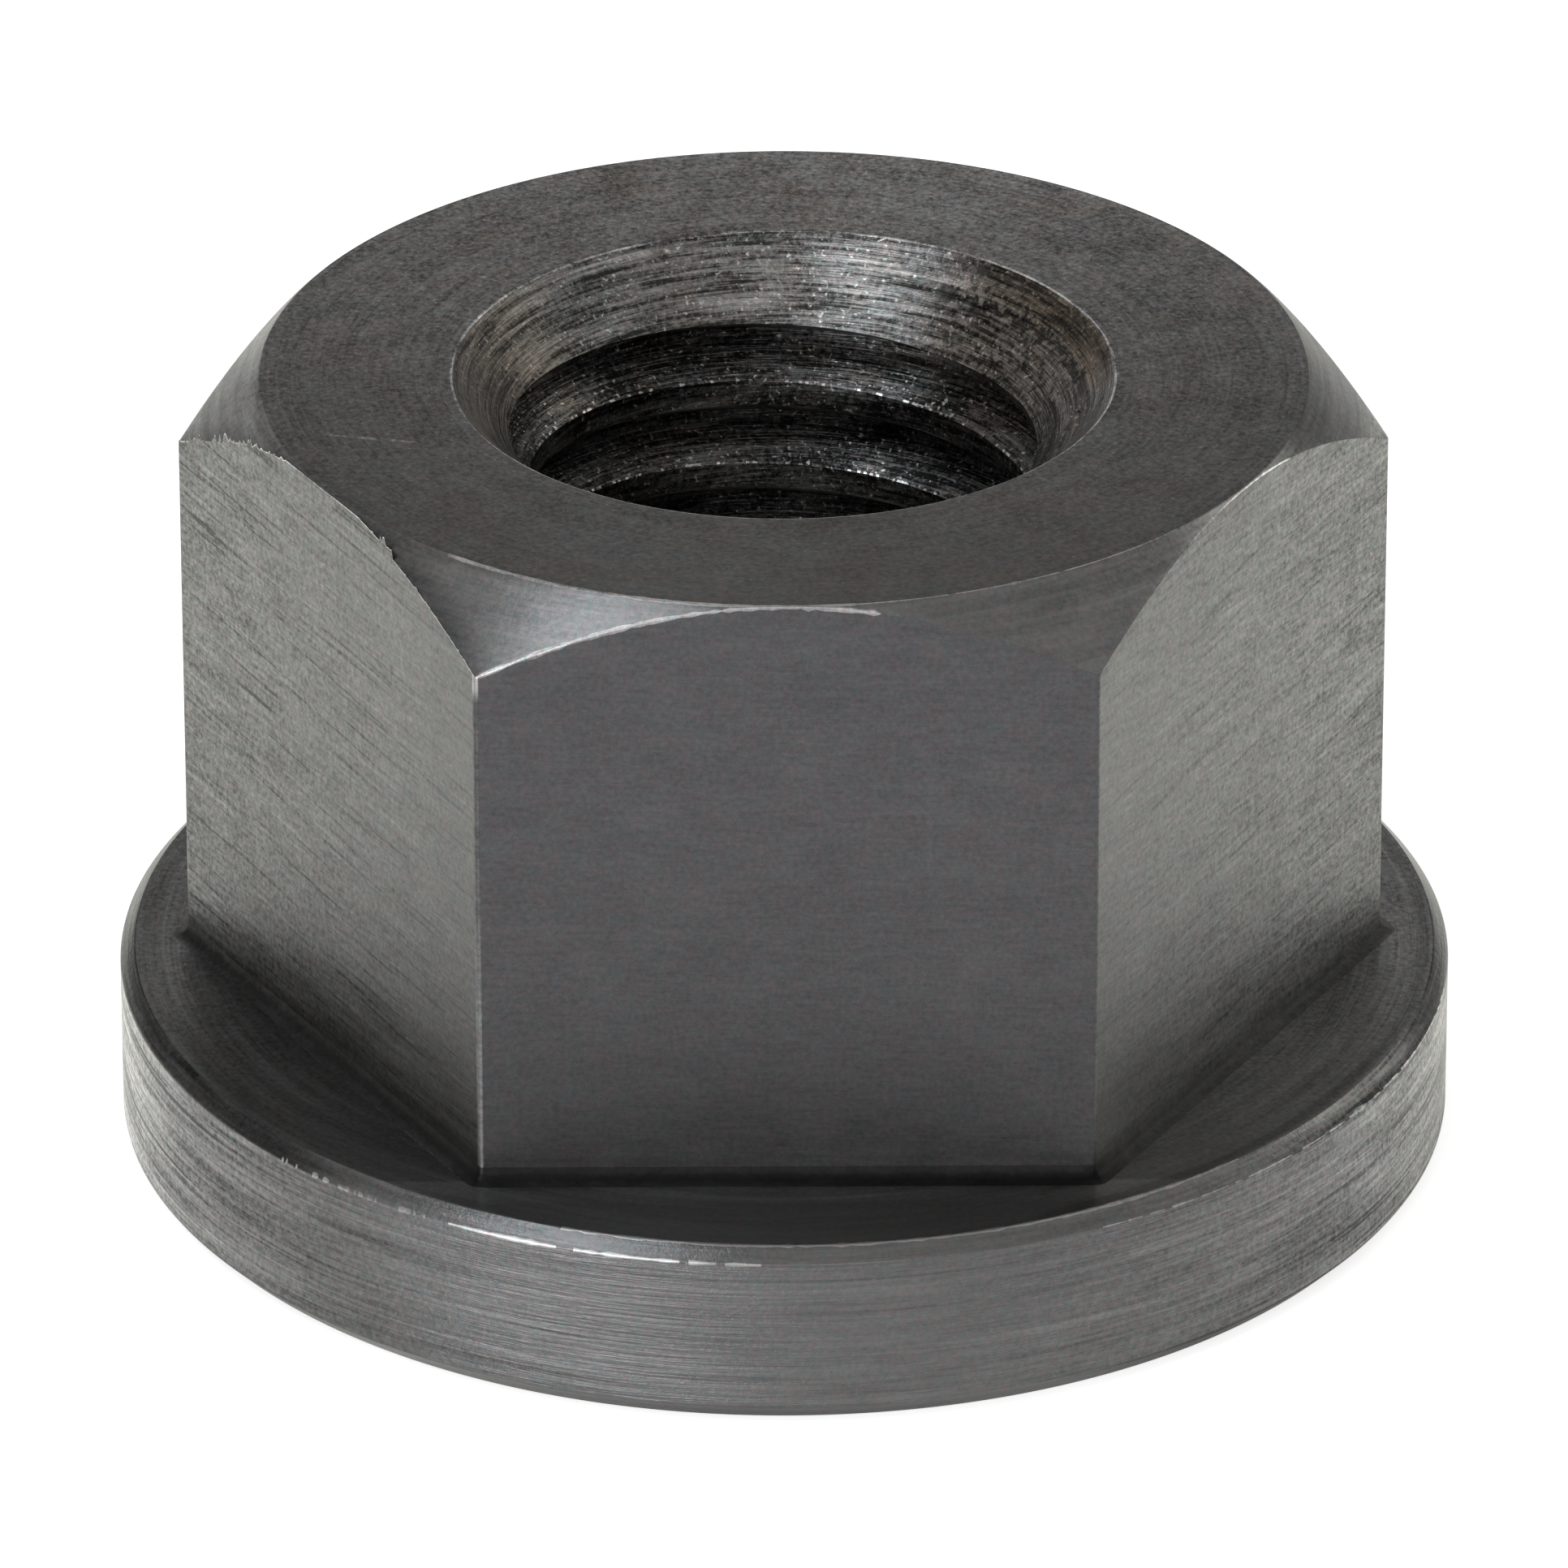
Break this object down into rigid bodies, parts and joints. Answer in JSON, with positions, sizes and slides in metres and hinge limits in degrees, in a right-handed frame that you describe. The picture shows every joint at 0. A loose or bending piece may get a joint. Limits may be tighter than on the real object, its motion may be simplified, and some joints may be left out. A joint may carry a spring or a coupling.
{
  "type": "hex flange nut",
  "caption": "Tall hexagon nut on a plain round collar, for clamping by a stud; chamfered top and countersunk threaded bore.",
  "frame": {"origin": "centre of the flat bearing face under the collar", "axes": "+Z along the thread's axis, from the bearing face towards the hexagon's top; two of the flats face -Y and +Y"},
  "size_m": [0.0286, 0.0286, 0.0175],
  "materials": {
    "blackened_steel": "dark oiled machined steel with fine turning and milling marks"
  },
  "bodies": {
    "root": {"flange_nut": "blackened_steel"}
  },
  "joints": []
}
